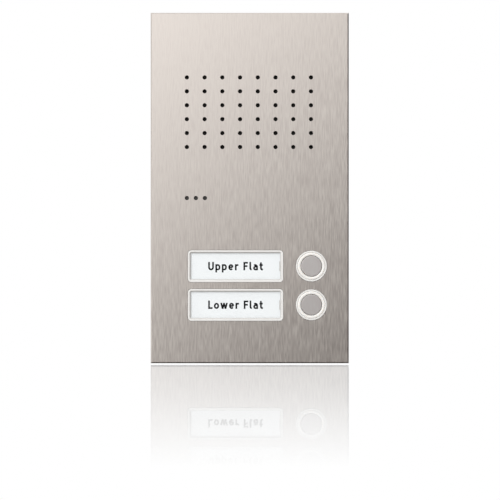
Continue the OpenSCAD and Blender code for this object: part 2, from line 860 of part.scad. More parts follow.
module terminal_screws() {
    color("silver") at_poles() difference() {
        rod(1.8, cover_d0 - 6, cover_d0 - 2.4);
        slab(cover_d0 - 3.2, cover_d0) square([4, 0.6], center = true);
    }
}

module speaker_connector() {
    color("ivory") difference() {
        at([connector_x, connector_z]) slab(board_d1, board_d1 + 6) rounded(7.5, 5, 0.4);
        for (x = [-pin_x, pin_x]) at([connector_x + x, connector_z + 3])
            slab(plug_d - 0.8, plug_d + 0.8) square([1.6, 5], center = true);
    }
}

module backlight_leds() {
    color("lightyellow") for (z = rows) {
        for (i = [-1 : 1]) at([field_x + 13 * i, z])
            slab(board_d0 - 1.1, board_d0) square([3, 2.8], center = true);
        for (a = [45 : 90 : 315]) at([button_x + 6.6 * cos(a), z + 6.6 * sin(a)])
            slab(board_d0 - 0.8, board_d0) square([1.6, 1.6], center = true);
    }
}

module trimmer_bodies() {
    color("royalblue") at_each(trimmer_spots) difference() {
        slab(board_d1, board_d1 + trimmer_h) square([trimmer_side, trimmer_side], center = true);
        rod(trimmer_r + slip, board_d1 + 2, board_d1 + trimmer_h + 1);
    }
}

module trimmer_rotor(i) {
    color("white") at(trimmer_spots[i]) difference() {
        rod(trimmer_r, board_d1 + 2.05, board_d1 + trimmer_h + 0.6);
        slab(board_d1 + trimmer_h - 0.3, board_d1 + trimmer_h + 1)
            square([2 * trimmer_r - 0.8, 0.6], center = true);
    }
}

// ---- Bell buttons ----

module button_seals() {
    color("black") for (z = rows) at([button_x, z]) difference() {
        rod(bezel_flange_r, 0, seal_t);
        rod(bezel_r + 0.3, -1, seal_t + 1);
    }
}

module button_bezel(i) {
    edge = 0.25;
    front = -plate_t - bezel_out;
    color("gainsboro") at([button_x, rows[i]]) turned() polygon([
        [bezel_r - edge, front], [bezel_r, front + edge], [bezel_r, seal_t],
        [bezel_flange_r, seal_t], [bezel_flange_r, seal_t + flange_t],
        [barrel_r, seal_t + flange_t], [barrel_r, guide_d0], [ring_tube_r + slip, guide_d0],
        [ring_tube_r + slip, -ring_shelf], [ring_r + slip, -ring_shelf],
        [ring_r + slip, front + edge], [ring_r + slip + edge, front]
    ]);
}

// Light guide: a crowned ring in front and a tube that reaches back to the guide
module light_ring(i) {
    half = (ring_r - ring_bore_r) / 2;
    color("white") at([button_x, rows[i]]) turned() {
        translate([ring_bore_r, -ring_edge]) square([2 * half, ring_edge - ring_shelf]);
        intersection() {
            translate([ring_bore_r + half, -ring_edge])
                scale([1, ring_crown / half]) circle(r = half, $fn = fine);
            translate([ring_bore_r, -ring_edge - ring_crown]) square([2 * half, ring_crown + eps]);
        }
        translate([ring_bore_r, -ring_shelf - eps])
            square([ring_tube_r - ring_bore_r, guide_d0 - 0.4 + ring_shelf]);
    }
}

module button_guide(i) {
    color([0.9, 0.95, 1]) at([button_x, rows[i]]) difference() {
        rod(barrel_r, guide_d0, guide_d1);
        rod(stem_r + slip, guide_d0 - 1, guide_d1 + 1);
    }
}

// Coil with closed ends, between the plunger disc and the guide
module button_spring(i) {
    lead = 0.75;
    d0 = disc_end + spring_wire_r + 0.03;
    d1 = guide_d0 - spring_wire_r - 0.03;
    steps = 16 * spring_turns;
    function climb(t) = t < lead ? 0 : t > spring_turns - lead ? 1
        : (t - lead) / (spring_turns - 2 * lead);
    route = [
        for (s = [0 : steps]) let (t = s / 16)
            [spring_r * cos(360 * t), d0 + (d1 - d0) * climb(t), spring_r * sin(360 * t)]
    ];
    color("silver") at([button_x, rows[i]]) translate([0, front_y, 0])
        tube(route, spring_wire_r, 6, [0, 1, 0]);
}

module button_cap(i) {
    color("darkgray") at([button_x, rows[i]]) turned() {
        translate([0, -cap_front]) square([cap_r - cap_round, cap_top_t]);
        translate([cap_r - cap_round, -cap_front + cap_round]) intersection() {
            circle(r = cap_round, $fn = fine);
            translate([-eps, -cap_round]) square([cap_round + eps, cap_round + eps]);
        }
        translate([cap_r - cap_round - eps, -cap_front + cap_round])
            square([cap_round + eps, cap_top_t - cap_round]);
        translate([cap_r - cap_wall, -cap_front + cap_round])
            square([cap_wall, cap_end + cap_front - cap_round]);
    }
}

// Pressed into the cap; the barb behind the guide stops it from coming out
module button_plunger(i) {
    color("whitesmoke") at([button_x, rows[i]]) turned() polygon([
        [0, -cap_front + cap_top_t], [cap_r - cap_wall, -cap_front + cap_top_t],
        [cap_r - cap_wall, disc_end], [stem_r, disc_end], [stem_r, guide_d1 + 0.05],
        [barb_r, guide_d1 + 0.05], [barb_r, guide_d1 + 0.4], [stem_r, stem_end - 0.3],
        [stem_r, stem_end], [0, stem_end]
    ]);
}

module button_switches() {
    color([0.16, 0.16, 0.17]) for (z = rows) at([button_x, z]) difference() {
        slab(board_d0 - switch_h, board_d0) square([switch_side, switch_side], center = true);
        rod(actuator_r + slip, board_d0 - switch_h - 1, board_d0 - 0.6);
    }
}

module switch_stem(i) {
    color("ivory") at([button_x, rows[i]])
        rod(actuator_r, stem_end, board_d0 - 0.7 - button_travel);
}

// ---- Name fields ----

module name_seals() {
    color("black") for (z = rows) at([field_x, z]) slab(0, seal_t) difference() {
        rounded(field_w + 4, field_h + 3.4, field_r + 1.6);
        rounded(field_w + 2 * field_gap, field_h + 2 * field_gap, field_r + field_gap);
    }
}

module name_diffuser(i) {
    color("azure") at([field_x, rows[i]]) difference() {
        slab(diffuser_d0, diffuser_d1) rounded(diffuser_w, diffuser_h, pocket_r);
        translate([fixing_spots[i][0] - field_x, 0, 0])
            rod(fixing_head_r + 0.5, diffuser_d0 - 1, diffuser_d1 + 1);
    }
}

// Window in the rim, narrowing towards the lens
module sloped_window() {
    w = field_w - 2 * field_rim;
    h = field_h - 2 * field_rim;
    outer_r = max(0.3, field_r - field_rim);
    hull() {
        slab(-plate_t - eps, -plate_t) rounded(w, h, outer_r, $fn = 32);
        slab(lens_d0 - eps, lens_d0 + eps)
            rounded(w - 2 * field_slope, h - 2 * field_slope, 0.3, $fn = 32);
    }
}

module name_frame(i) {
    color("gainsboro") at([field_x, rows[i]]) difference() {
        union() {
            slab(-plate_t, frame_d1) rounded(field_w, field_h, field_r);
            for (side = [-1, 1]) translate([side * (field_w / 2 - leg_t / 2), 0, 0])
                slab(frame_d1 - eps, leg_end) square([leg_t, leg_w], center = true);
        }
        difference() {
            sloped_window();
            translate([field_w / 2 - field_rim - field_slope - tab_w, y_at(lens_d0 - 0.3), -tab_h / 2])
                cube([tab_w + field_slope, 1, tab_h]);
        }
        slab(lens_d0, frame_d1 + 1) rounded(pocket_w, pocket_h, pocket_r);
        for (side = [-1, 1]) translate([side * field_w / 2, 0, 0])
            slab(notch_d0, notch_d1) square([2 * notch_depth, leg_w + 2], center = true);
    }
}

module name_lens(i) {
    color([0.85, 0.9, 0.95, 0.4]) at([field_x, rows[i]])
        slab(lens_d0, lens_d1) rounded(pocket_w - 2 * slip, pocket_h - 2 * slip, pocket_r);
}

module name_card(i) {
    color("white") at([field_x, rows[i]])
        slab(card_d0, card_d1) rounded(pocket_w - 4 * slip, pocket_h - 4 * slip, pocket_r);
}

// Leaf springs on the carrier; each tip rests in the notch of a frame leg
module name_clips() {
    tip = (notch_d0 + notch_d1) / 2;
    t = clip_t;
    color("silver") for (z = rows, side = [0, 1])
        at([field_x, z]) mirror([side, 0, 0]) translate([field_w / 2, front_y, -leg_w / 2 + 1])
            linear_extrude(leg_w - 2) polygon([
                [0.8, wall_d1], [5.4, wall_d1], [5.4, wall_d1 + t], [0.8 + t, wall_d1 + t],
                [0.5 + t, tip - 0.4], [0.5, tip + t], [0.8, leg_end], [0.5, leg_end],
                [-0.2, tip], [0.5, tip - 0.7]
            ]);
}

// ---- What is shown ----

wall_box();
box_inserts();
cable_grommet();
front_plate();
plate_studs();
plate_nuts();
plate_gasket();
front_carrier();
rear_cover();
housing_screws();
fixing_screws();
top_clips();
speaker_screen();
speaker_gasket();
speaker_basket();
speaker_cone();
speaker_magnet();
speaker_clamps();
speaker_leads();
microphone_plug();
microphone_boot();
microphone_capsule();
main_board();
controller_chip();
amplifier_chip();
capacitors();
bus_coil();
terminal_block();
terminal_screws();
speaker_connector();
backlight_leds();
trimmer_bodies();
trimmer_rotor(0);  // trimmer_rotor_1
trimmer_rotor(1);  // trimmer_rotor_2
button_switches();
button_seals();
name_seals();
name_clips();
button_bezel(0);  // button_bezel_1
button_bezel(1);  // button_bezel_2
light_ring(0);  // light_ring_1
light_ring(1);  // light_ring_2
button_guide(0);  // button_guide_1
button_guide(1);  // button_guide_2
button_spring(0);  // button_spring_1
button_spring(1);  // button_spring_2
button_cap(0);  // button_cap_1
button_cap(1);  // button_cap_2
button_plunger(0);  // button_plunger_1
button_plunger(1);  // button_plunger_2
switch_stem(0);  // switch_stem_1
switch_stem(1);  // switch_stem_2
name_diffuser(0);  // name_diffuser_1
name_diffuser(1);  // name_diffuser_2
name_frame(0);  // name_frame_1
name_frame(1);  // name_frame_2
name_lens(0);  // name_lens_1
name_lens(1);  // name_lens_2
name_card(0);  // name_card_1
name_card(1);  // name_card_2
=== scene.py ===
"""Looks for the flush-mounted door station: materials, printed cards, springs, light and camera.

Everything is in metres in the part's own frame: +Z up, the front plate faces -Y, +X is to a
caller's right. The CAD nodes keep their shape; the pieces made here ride on their bodies.
"""

import json
import math

import bmesh
import bpy
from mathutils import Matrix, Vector


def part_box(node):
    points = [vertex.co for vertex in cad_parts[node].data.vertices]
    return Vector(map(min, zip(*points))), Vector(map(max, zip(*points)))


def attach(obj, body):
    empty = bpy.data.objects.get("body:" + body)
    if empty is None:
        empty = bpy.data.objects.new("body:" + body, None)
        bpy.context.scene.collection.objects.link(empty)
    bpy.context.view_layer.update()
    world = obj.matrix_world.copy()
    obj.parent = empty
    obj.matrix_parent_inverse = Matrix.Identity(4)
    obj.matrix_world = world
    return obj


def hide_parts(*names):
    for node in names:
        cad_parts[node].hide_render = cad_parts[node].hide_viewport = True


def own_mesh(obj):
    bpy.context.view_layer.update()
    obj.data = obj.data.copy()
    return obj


MM = 0.001
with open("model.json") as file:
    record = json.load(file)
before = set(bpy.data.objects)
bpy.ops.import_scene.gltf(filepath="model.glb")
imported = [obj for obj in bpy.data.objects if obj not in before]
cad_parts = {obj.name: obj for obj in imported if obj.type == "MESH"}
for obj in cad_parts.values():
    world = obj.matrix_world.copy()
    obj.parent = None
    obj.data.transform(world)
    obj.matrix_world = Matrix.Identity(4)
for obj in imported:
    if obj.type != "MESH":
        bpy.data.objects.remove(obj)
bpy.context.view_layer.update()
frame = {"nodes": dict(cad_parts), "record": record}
NODES = frame["nodes"]


# ---------------------------------------------------------------- node helpers


class Tree:
    """Short names for adding nodes to one node tree. A value is a number, a colour or an output."""

    def __init__(self, tree):
        self.nodes = tree.nodes
        self.links = tree.links

    def feed(self, socket, value):
        """Sets a socket to a number or a colour, or links an output to it."""
        if isinstance(value, (int, float)):
            socket.default_value = value
        elif isinstance(value, tuple):
            socket.default_value = (*value, 1.0)
        else:
            self.links.new(value, socket)

    def math(self, operation, a, b, clamp=False):
        node = self.nodes.new("ShaderNodeMath")
        node.operation = operation
        node.use_clamp = clamp
        self.feed(node.inputs[0], a)
        self.feed(node.inputs[1], b)
        return node.outputs[0]

    def ranged(self, value, low, high, to_low, to_high, smooth=True):
        """Carries the range low to high over to another one, and stays inside it."""
        node = self.nodes.new("ShaderNodeMapRange")
        node.interpolation_type = "SMOOTHSTEP" if smooth else "LINEAR"
        for socket, number in zip(node.inputs, (value, low, high, to_low, to_high)):
            self.feed(socket, number)
        return node.outputs["Result"]

    def mixed(self, factor, color_a, color_b):
        node = self.nodes.new("ShaderNodeMix")
        node.data_type = "RGBA"
        self.feed(node.inputs["Factor"], factor)
        self.feed(node.inputs["A"], color_a)
        self.feed(node.inputs["B"], color_b)
        return node.outputs["Result"]

    def axes(self, vector):
        """The X, Y and Z parts of a vector."""
        node = self.nodes.new("ShaderNodeSeparateXYZ")
        self.links.new(vector, node.inputs[0])
        return tuple(node.outputs[axis] for axis in "XYZ")


class Shader(Tree):
    """A material with one Principled surface."""

    def __init__(self, name, color, roughness, metallic=0.0, **constants):
        self.material = bpy.data.materials.new(name)
        self.material.use_nodes = True
        super().__init__(self.material.node_tree)
        self.surface = self.nodes["Principled BSDF"]
        self.surface.inputs["Base Color"].default_value = (*color, 1.0)
        self.surface.inputs["Roughness"].default_value = roughness
        self.surface.inputs["Metallic"].default_value = metallic
        for socket, value in constants.items():
            self.surface.inputs[socket.replace("_", " ")].default_value = value
        self.place = self.nodes.new("ShaderNodeTexCoord").outputs["Object"]
        self.normal = None

    def scaled(self, scale):
        """Object coordinates stretched by a scale per axis, in cells per metre."""
        mapping = self.nodes.new("ShaderNodeMapping")
        mapping.inputs["Scale"].default_value = scale
        self.links.new(self.place, mapping.inputs["Vector"])
        return mapping.outputs["Vector"]

    def noise(self, scale, detail=2.0, roughness=0.5, distortion=0.0):
        node = self.nodes.new("ShaderNodeTexNoise")
        node.inputs["Scale"].default_value = 1.0
        node.inputs["Detail"].default_value = detail
        node.inputs["Roughness"].default_value = roughness
        node.inputs["Distortion"].default_value = distortion
        self.links.new(self.scaled(scale), node.inputs["Vector"])
        return node.outputs["Fac"]

    def cells(self, scale, feature="F1"):
        node = self.nodes.new("ShaderNodeTexVoronoi")
        node.feature = feature
        node.inputs["Scale"].default_value = 1.0
        self.links.new(self.scaled(scale), node.inputs["Vector"])
        return node.outputs["Distance"]

    def bump(self, height, strength, distance):
        """Adds a layer of bump; distance is the height of the relief in metres."""
        node = self.nodes.new("ShaderNodeBump")
        node.inputs["Strength"].default_value = strength
        node.inputs["Distance"].default_value = distance
        self.links.new(height, node.inputs["Height"])
        if self.normal:
            self.links.new(self.normal, node.inputs["Normal"])
        self.normal = node.outputs["Normal"]
        self.links.new(self.normal, self.surface.inputs["Normal"])

    def soften_edges(self, radius_mm):
        """Lets light roll over the edges as on a moulding's small radii."""
        node = self.nodes.new("ShaderNodeBevel")
        node.samples = 6
        node.inputs["Radius"].default_value = radius_mm * MM
        self.normal = node.outputs["Normal"]

    def color(self, output):
        self.links.new(output, self.surface.inputs["Base Color"])

    def roughness(self, output):
        self.links.new(output, self.surface.inputs["Roughness"])


def shade(color, factor):
    return tuple(channel * factor for channel in color)


# ---------------------------------------------------------------- the materials


def brushed_steel(name, color, roughness, cell_mm, length_mm, contrast, relief, anisotropy):
    """Steel brushed up and down: streaks one cell wide and some millimetres long.

    The streaks are painted with more contrast low and to the right, where the sheen of the light is
    weakest.
    """
    s = Shader(name, color, roughness, 1.0, Anisotropic=anisotropy)
    across, along = 1 / (cell_mm * MM), 1 / (length_mm * MM)
    fine = s.noise((2.2 * across, 2.2 * across, 2 * along), detail=1.0, roughness=0.4)
    wide = s.noise((across, across, along), detail=1.0, roughness=0.5)
    broad = s.noise((across / 5, across / 5, along / 3), detail=1.0)
    fine_share, wide_share, broad_share = 0.25, 0.6, 0.15
    streak = s.math("MULTIPLY", fine, fine_share)
    streak = s.math("ADD", streak, s.math("MULTIPLY", wide, wide_share))
    streak = s.math("ADD", streak, s.math("MULTIPLY", broad, broad_share))
    x, _, z = s.axes(s.place)
    # painted to follow the light: streak contrast rises towards the lower right, where the sheen is
    # weakest
    low_right = s.math("SUBTRACT", x, z)
    corner, faintest = 0.15, 0.3
    contrast_by_light = s.ranged(low_right, -corner, corner, faintest, 1.0)
    level = s.math("SUBTRACT", s.ranged(streak, 0.3, 0.7, 0, 1), 0.5)
    marked = s.math("MULTIPLY", level, contrast_by_light)
    dark, light = shade(color, 1 - contrast), shade(color, 1 + contrast)
    warm = (dark[0] * 1.01, dark[1] * 0.975, dark[2] * 0.985)
    s.color(s.mixed(s.math("ADD", marked, 0.5), warm, light))
    s.roughness(s.ranged(streak, 0.48, 0.72, roughness - 0.01, roughness + 0.07))
    tangent = s.nodes.new("ShaderNodeTangent")
    tangent.direction_type = "RADIAL"
    tangent.axis = "Z"
    s.links.new(tangent.outputs["Tangent"], s.surface.inputs["Tangent"])
    s.bump(wide, 0.5, relief * MM)
    return s.material


def plain_metal(name, color, roughness, wear=0.06):
    """Plated or turned metal with faint cloudiness and fine scratches."""
    s = Shader(name, color, roughness, 1.0)
    cloud = s.noise((260, 260, 260), detail=3.0)
    scratch = s.noise((2600, 300, 2600), detail=2.0)
    s.color(s.mixed(cloud, shade(color, 1 - wear), shade(color, 1 + wear)))
    s.roughness(s.ranged(scratch, 0.25, 0.75, roughness - 0.02, roughness + 0.05))
    s.bump(scratch, 0.2, 0.002 * MM)
    return s.material


def moulded(name, color, roughness, grain_mm=0.6, relief=0.02, edge_mm=0.0, **constants):
    """Moulded plastic with a fine spark-eroded grain and slight unevenness."""
    s = Shader(name, color, roughness, 0.0, **constants)
    if edge_mm:
        s.soften_edges(edge_mm)
    cell = 1 / (grain_mm * MM)
    grain = s.noise((cell, cell, cell), detail=3.0, roughness=0.6)
    cloud = s.noise((40, 40, 40), detail=2.0)
    s.color(s.mixed(cloud, shade(color, 0.93), shade(color, 1.06)))
    s.roughness(s.ranged(grain, 0.3, 0.7, roughness - 0.05, roughness + 0.06))
    s.bump(grain, 0.4, relief * MM)
    return s.material


def frame_plastic(name, color):
    """Light-grey plastic; what lies behind the front rim is painted darker, as painted shade in the
    recess.
    """
    s = Shader(name, color, 0.42)
    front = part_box("name_frame_1")[0].y
    y = s.axes(s.place)[1]
    # painted shade: faces deeper than the front rim are darkened to stand in for the recess's shade
    recess_shade = s.ranged(y, front + 0.06 * MM, front + 0.3 * MM, 0, 1)
    cloud = s.noise((60, 60, 60), detail=2.0)
    grain = s.noise((2500, 2500, 2500), detail=2.0)
    # mostly painted recess shade, with a little random cloudiness of the plastic
    cloud_and_recess_shade = s.math("ADD", s.math("MULTIPLY", recess_shade, 0.9), s.math("MULTIPLY", cloud, 0.1))
    s.color(s.mixed(cloud_and_recess_shade, shade(color, 1.02), shade(color, 0.72)))
    s.roughness(s.ranged(grain, 0.3, 0.7, 0.38, 0.48))
    s.bump(grain, 0.3, 0.006 * MM)
    return s.material


def rubber(name, color, roughness, cell_mm, relief):
    """Rubber or foam: a dull surface with small pores."""
    s = Shader(name, color, roughness)
    cell = 1 / (cell_mm * MM)
    pores = s.cells((cell, cell, cell))
    dust = s.noise((90, 90, 90), detail=4.0)
    s.color(s.mixed(dust, shade(color, 0.8), shade(color, 1.5)))
    s.bump(pores, 0.6, relief * MM)
    return s.material


def milky(name, color, roughness, painted_glow=0.0):
    """Milky light-guide plastic: soft, a little translucent."""
    s = Shader(
        name, color, roughness, 0.0, Subsurface_Weight=0.35, Subsurface_Scale=0.0012,
        Subsurface_Radius=(1.0, 0.9, 0.8), IOR=1.4,
        Emission_Color=(*color, 1.0), Emission_Strength=painted_glow,
    )
    cloud = s.noise((700, 700, 700), detail=2.0)
    s.color(s.mixed(cloud, shade(color, 0.97), shade(color, 1.02)))
    s.bump(s.noise((3000, 3000, 3000), detail=2.0), 0.15, 0.01 * MM)
    return s.material


def clear_window(name):
    """Thin clear plastic: mostly see-through, with a glossy skin."""
    s = Shader(name, (0.05, 0.055, 0.06), 0.06, 0.0, IOR=1.35, Alpha=0.08)
    s.bump(s.noise((500, 500, 500), detail=1.0), 0.1, 0.004 * MM)
    return s.material


def card_paper(name, color, painted_glow):
    """Smooth printed card with paper fibre, with a painted glow that gives it light of its own."""
    s = Shader(name, color, 0.55, 0.0, Emission_Color=(*color, 1.0), Emission_Strength=painted_glow)
    fibre = s.noise((5000, 5000, 2500), detail=4.0, distortion=0.6)
    s.color(s.mixed(fibre, shade(color, 0.985), shade(color, 1.01)))
    s.bump(fibre, 0.2, 0.006 * MM)
    return s.material


def woven_screen(name, color):
    """Fine black wire cloth."""
    s = Shader(name, color, 0.6, 0.3)
    wave = 2 * math.pi / (0.55 * MM)
    x, _, z = s.axes(s.place)
    across = s.math("SINE", s.math("MULTIPLY", x, wave), 0)
    along = s.math("SINE", s.math("MULTIPLY", z, wave), 0)
    weave = s.ranged(s.math("MULTIPLY", across, along), -1, 1, 0, 1)
    s.color(s.mixed(weave, shade(color, 0.4), shade(color, 1.8)))
    s.bump(weave, 0.9, 0.1 * MM)
    return s.material


def circuit_board(name, color):
    """Solder mask over faint copper tracks."""
    s = Shader(name, color, 0.32, 0.0, Coat_Weight=0.4, Coat_Roughness=0.15)
    tracks = s.cells((420, 420, 420), "DISTANCE_TO_EDGE")
    line = s.ranged(tracks, 0.03, 0.07, 1, 0)
    s.color(s.mixed(line, color, shade(color, 1.9)))
    s.bump(line, 0.5, 0.035 * MM)
    return s.material


def wound_wire(name, color):
    """Enamelled copper wire laid turn beside turn."""
    s = Shader(name, color, 0.28, 1.0)
    wave = 2 * math.pi / (0.35 * MM)
    turns = s.math("SINE", s.math("MULTIPLY", s.axes(s.place)[1], wave), 0)
    s.color(s.mixed(s.ranged(turns, -1, 1, 0, 1), shade(color, 0.45), shade(color, 1.15)))
    s.bump(turns, 0.8, 0.06 * MM)
    return s.material


def make_materials():
    """One finished material for each of the record's material slots.

    Plain numbers after a colour are the roughness, then the grain in mm and its relief in mm.
    """
    steel = (0.60, 0.56, 0.52)
    plastic_grey = (0.68, 0.67, 0.65)
    return {
        "brushed_stainless": brushed_steel(
            "brushed_stainless", steel, roughness=0.29, cell_mm=0.75, length_mm=9,
            contrast=0.17, relief=0.04, anisotropy=0.55,
        ),
        "satin_steel": brushed_steel(
            "satin_steel", (0.625, 0.605, 0.59), roughness=0.4, cell_mm=0.4, length_mm=4,
            contrast=0.02, relief=0.003, anisotropy=0.3,
        ),
        "bright_steel": plain_metal("bright_steel", (0.68, 0.68, 0.69), 0.24),
        "spring_steel": plain_metal("spring_steel", (0.55, 0.55, 0.57), 0.3),
        "insert_brass": plain_metal("insert_brass", (0.72, 0.53, 0.24), 0.3),
        "magnet_dark": plain_metal("magnet_dark", (0.16, 0.16, 0.17), 0.45),
        "basket_black": moulded("basket_black", (0.035, 0.035, 0.036), 0.42, 0.4),
        "frame_grey": frame_plastic("frame_grey", plastic_grey),
        "light_guide": milky("light_guide", (0.74, 0.722, 0.695), 0.45),
        "diffuser_white": milky("diffuser_white", (0.60, 0.61, 0.62), 0.4),
        "clear_window": clear_window("clear_window"),
        # the 1.03 is the strength of the card's painted glow
        "card_white": card_paper("card_white", (0.50, 0.515, 0.52), 1.03),
        "carrier_grey": moulded("carrier_grey", (0.05, 0.053, 0.056), 0.5, edge_mm=0.5),
        "cover_grey": moulded("cover_grey", (0.075, 0.078, 0.082), 0.5, edge_mm=0.5),
        "box_grey": moulded(
            "box_grey", (0.11, 0.115, 0.12), 0.5, grain_mm=0.8, relief=0.03, edge_mm=0.8
        ),
        "black_rubber": rubber("black_rubber", (0.02, 0.02, 0.021), 0.75, 0.5, 0.02),
        "foam_black": rubber("foam_black", (0.022, 0.022, 0.023), 0.9, 0.45, 0.12),
        "screen_black": woven_screen("screen_black", (0.012, 0.012, 0.012)),
        "plug_grey": rubber("plug_grey", (0.03, 0.029, 0.028), 0.8, 0.25, 0.08),
        "cone_paper": rubber("cone_paper", (0.03, 0.03, 0.03), 0.85, 0.6, 0.05),
        "board_green": circuit_board("board_green", (0.012, 0.10, 0.045)),
        "chip_black": moulded("chip_black", (0.02, 0.02, 0.022), 0.5, 0.3),
        "can_blue": moulded("can_blue", (0.02, 0.035, 0.10), 0.25, 1.5, 0.005),
        "coil_copper": wound_wire("coil_copper", (0.70, 0.30, 0.12)),
        "terminal_green": moulded("terminal_green", (0.03, 0.22, 0.07), 0.42),
        "ivory_plastic": moulded("ivory_plastic", (0.72, 0.68, 0.55), 0.42),
        "led_yellow": milky("led_yellow", (0.85, 0.72, 0.30), 0.3),
        "trimmer_blue": moulded("trimmer_blue", (0.03, 0.09, 0.34), 0.4),
        "switch_black": moulded("switch_black", (0.025, 0.025, 0.027), 0.45),
        "lead_red": moulded("lead_red", (0.36, 0.02, 0.018), 0.38, 1.0, 0.004),
    }


def dress_nodes(materials):
    """Gives each CAD node its slot's material and smooths only its gentle edges."""
    slot_of = {p["node"]: p["material_slot"] for p in frame["record"]["subparts"]}
    for name, obj in NODES.items():
        obj.data.materials.clear()
        obj.data.materials.append(materials[slot_of[name]])
        obj.data.shade_smooth()
        obj.data.set_sharp_from_angle(angle=math.radians(28))


# ---------------------------------------------------------------- pieces made here


INK_HALF = 0.1  # half the width of a pen stroke; letters are 1 high
SMALL = 0.73  # height of the small letters
SHARPEST_JOINT = 0.4  # keeps a sharp bend in a stroke from growing a long point
LAYER = 1e-4  # each stroke is this much thicker than the last, so that no two faces coincide


def arc(cx, cy, rx, ry, start, end, steps=14):
    """Points on an ellipse between two angles in degrees."""
    turns = [math.radians(start + (end - start) * i / steps) for i in range(steps + 1)]
    return [(cx + rx * math.cos(a), cy + ry * math.sin(a)) for a in turns]


def letter_strokes():
    """Each letter as its width and the centre lines of its strokes."""
    h, x = INK_HALF, SMALL
    mid, rise = x / 2, x / 2 - h
    bowl = [(h, x - h)] + arc(0.33, mid, 0.27 - h, rise, 90, -90) + [(h, h)]
    low_bowl = 0.43
    return {
        "U": (0.68, [[(h, 1)] + arc(0.34, 0.34, 0.34 - h, 0.34 - h, 180, 360) + [(0.68 - h, 1)]]),
        "L": (0.52, [[(h, 1), (h, h), (0.52, h)]]),
        "F": (0.54, [[(0.54, 1 - h), (h, 1 - h), (h, 0)], [(h, 0.5), (0.48, 0.5)]]),
        "p": (0.60, [[(h, x), (h, -0.26)], bowl]),
        "e": (0.61, [[(h, mid), (0.61 - h, mid)], arc(0.305, mid, 0.305 - h, rise, 0, 318, 30)]),
        "r": (0.42, [
            [(h, x), (h, 0)],
            arc(0.34, x - h - 0.22, 0.26, 0.22, 180, 90) + [(0.42, x - h)],
        ]),
        "l": (0.27, [[(h, 1)] + arc(h + 0.13, h + 0.13, 0.13, 0.13, 180, 270) + [(0.27, h)]]),
        "a": (0.57, [
            [(0.57 - h, 0)] + arc(0.57 - h - 0.21, x - h - 0.2, 0.21, 0.2, 0, 90) + [(0.1, x - h)],
            [(0.57 - h, low_bowl)]
            + arc(0.25, (low_bowl + h) / 2, 0.25 - h, (low_bowl - h) / 2, 90, 270)
            + [(0.57 - h, h)],
        ]),
        "t": (0.42, [
            [(0.18, 0.95)] + arc(0.33, h + 0.15, 0.15, 0.15, 180, 270) + [(0.42, h)],
            [(0, x - h), (0.4, x - h)],
        ]),
        "o": (0.62, [
            arc(0.31, mid, 0.31 - h, rise, start, start + 200, 20) for start in (0, 180)
        ]),
        "w": (0.86, [
            [(top, x), (foot, 0)]
            for top, foot in ((0.08, 0.26), (0.43, 0.26), (0.43, 0.60), (0.78, 0.60))
        ]),
        " ": (0.24, []),
    }


def ribbon(bm, points, height, flat_ends):
    """One pen stroke as a thin closed slab, from y = 0 to y = -height, letters along X and Z."""
    count = len(points)
    rims = []
    for i, (x, z) in enumerate(points):
        (ax, az), (bx, bz) = points[max(i - 1, 0)], points[min(i + 1, count - 1)]
        before = Vector((x - ax, z - az)).normalized() if i else None
        after = Vector((bx - x, bz - z)).normalized() if i < count - 1 else None
        along = ((before or after) + (after or before)).normalized()
        across = Vector((-along.y, along.x))
        stroke = after or before
        reach = INK_HALF / max(SHARPEST_JOINT, across.dot(Vector((-stroke.y, stroke.x))))
        if flat_ends:
            across, reach = Vector((1, 0)), INK_HALF / abs(along.y)
        side = across * reach
        rims.append([
            bm.verts.new((x + side.x * s, y, z + side.y * s)) for s in (1, -1) for y in (0, -height)
        ])
    for a, b in zip(rims, rims[1:]):
        bm.faces.new((a[1], a[3], b[3], b[1]))
        bm.faces.new((a[0], b[0], b[2], a[2]))
        bm.faces.new((a[0], a[1], b[1], b[0]))
        bm.faces.new((a[2], b[2], b[3], a[3]))
    for rim in (rims[0], rims[-1]):
        bm.faces.new((rim[0], rim[1], rim[3], rim[2]))


def printed_words(index, words, ink):
    """Ink on the front of a name card, in plain upright letters."""
    low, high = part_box(f"name_card_{index}")
    cap_height = 5.5 * MM
    width = 36 * MM
    thickness = 0.02 * MM
    letters = letter_strokes()
    used = sum(letters[c][0] for c in words)
    gap = (width / cap_height - used) / (len(words) - 1)
    bm = bmesh.new()
    start = 0.0
    height = thickness / cap_height
    layer = 0
    for c in words:
        advance, strokes = letters[c]
        for stroke in strokes:
            layer += 1
            points = [(start + x, z) for x, z in stroke]
            ribbon(bm, points, height + layer * LAYER, flat_ends=(c == "w"))
        start += advance + gap
    centre = (low + high) / 2
    corner = Vector((centre.x - width / 2, low.y, centre.z - cap_height / 2))
    for v in bm.verts:
        v.co = corner + v.co * cap_height
    bmesh.ops.recalc_face_normals(bm, faces=bm.faces)
    mesh = bpy.data.meshes.new(f"printed_words_{index}")
    bm.to_mesh(mesh)
    bm.free()
    piece = bpy.data.objects.new(f"printed_words_{index}", mesh)
    bpy.context.scene.collection.objects.link(piece)
    mesh.materials.append(ink)
    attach(piece, f"cover_{index}")
    return piece


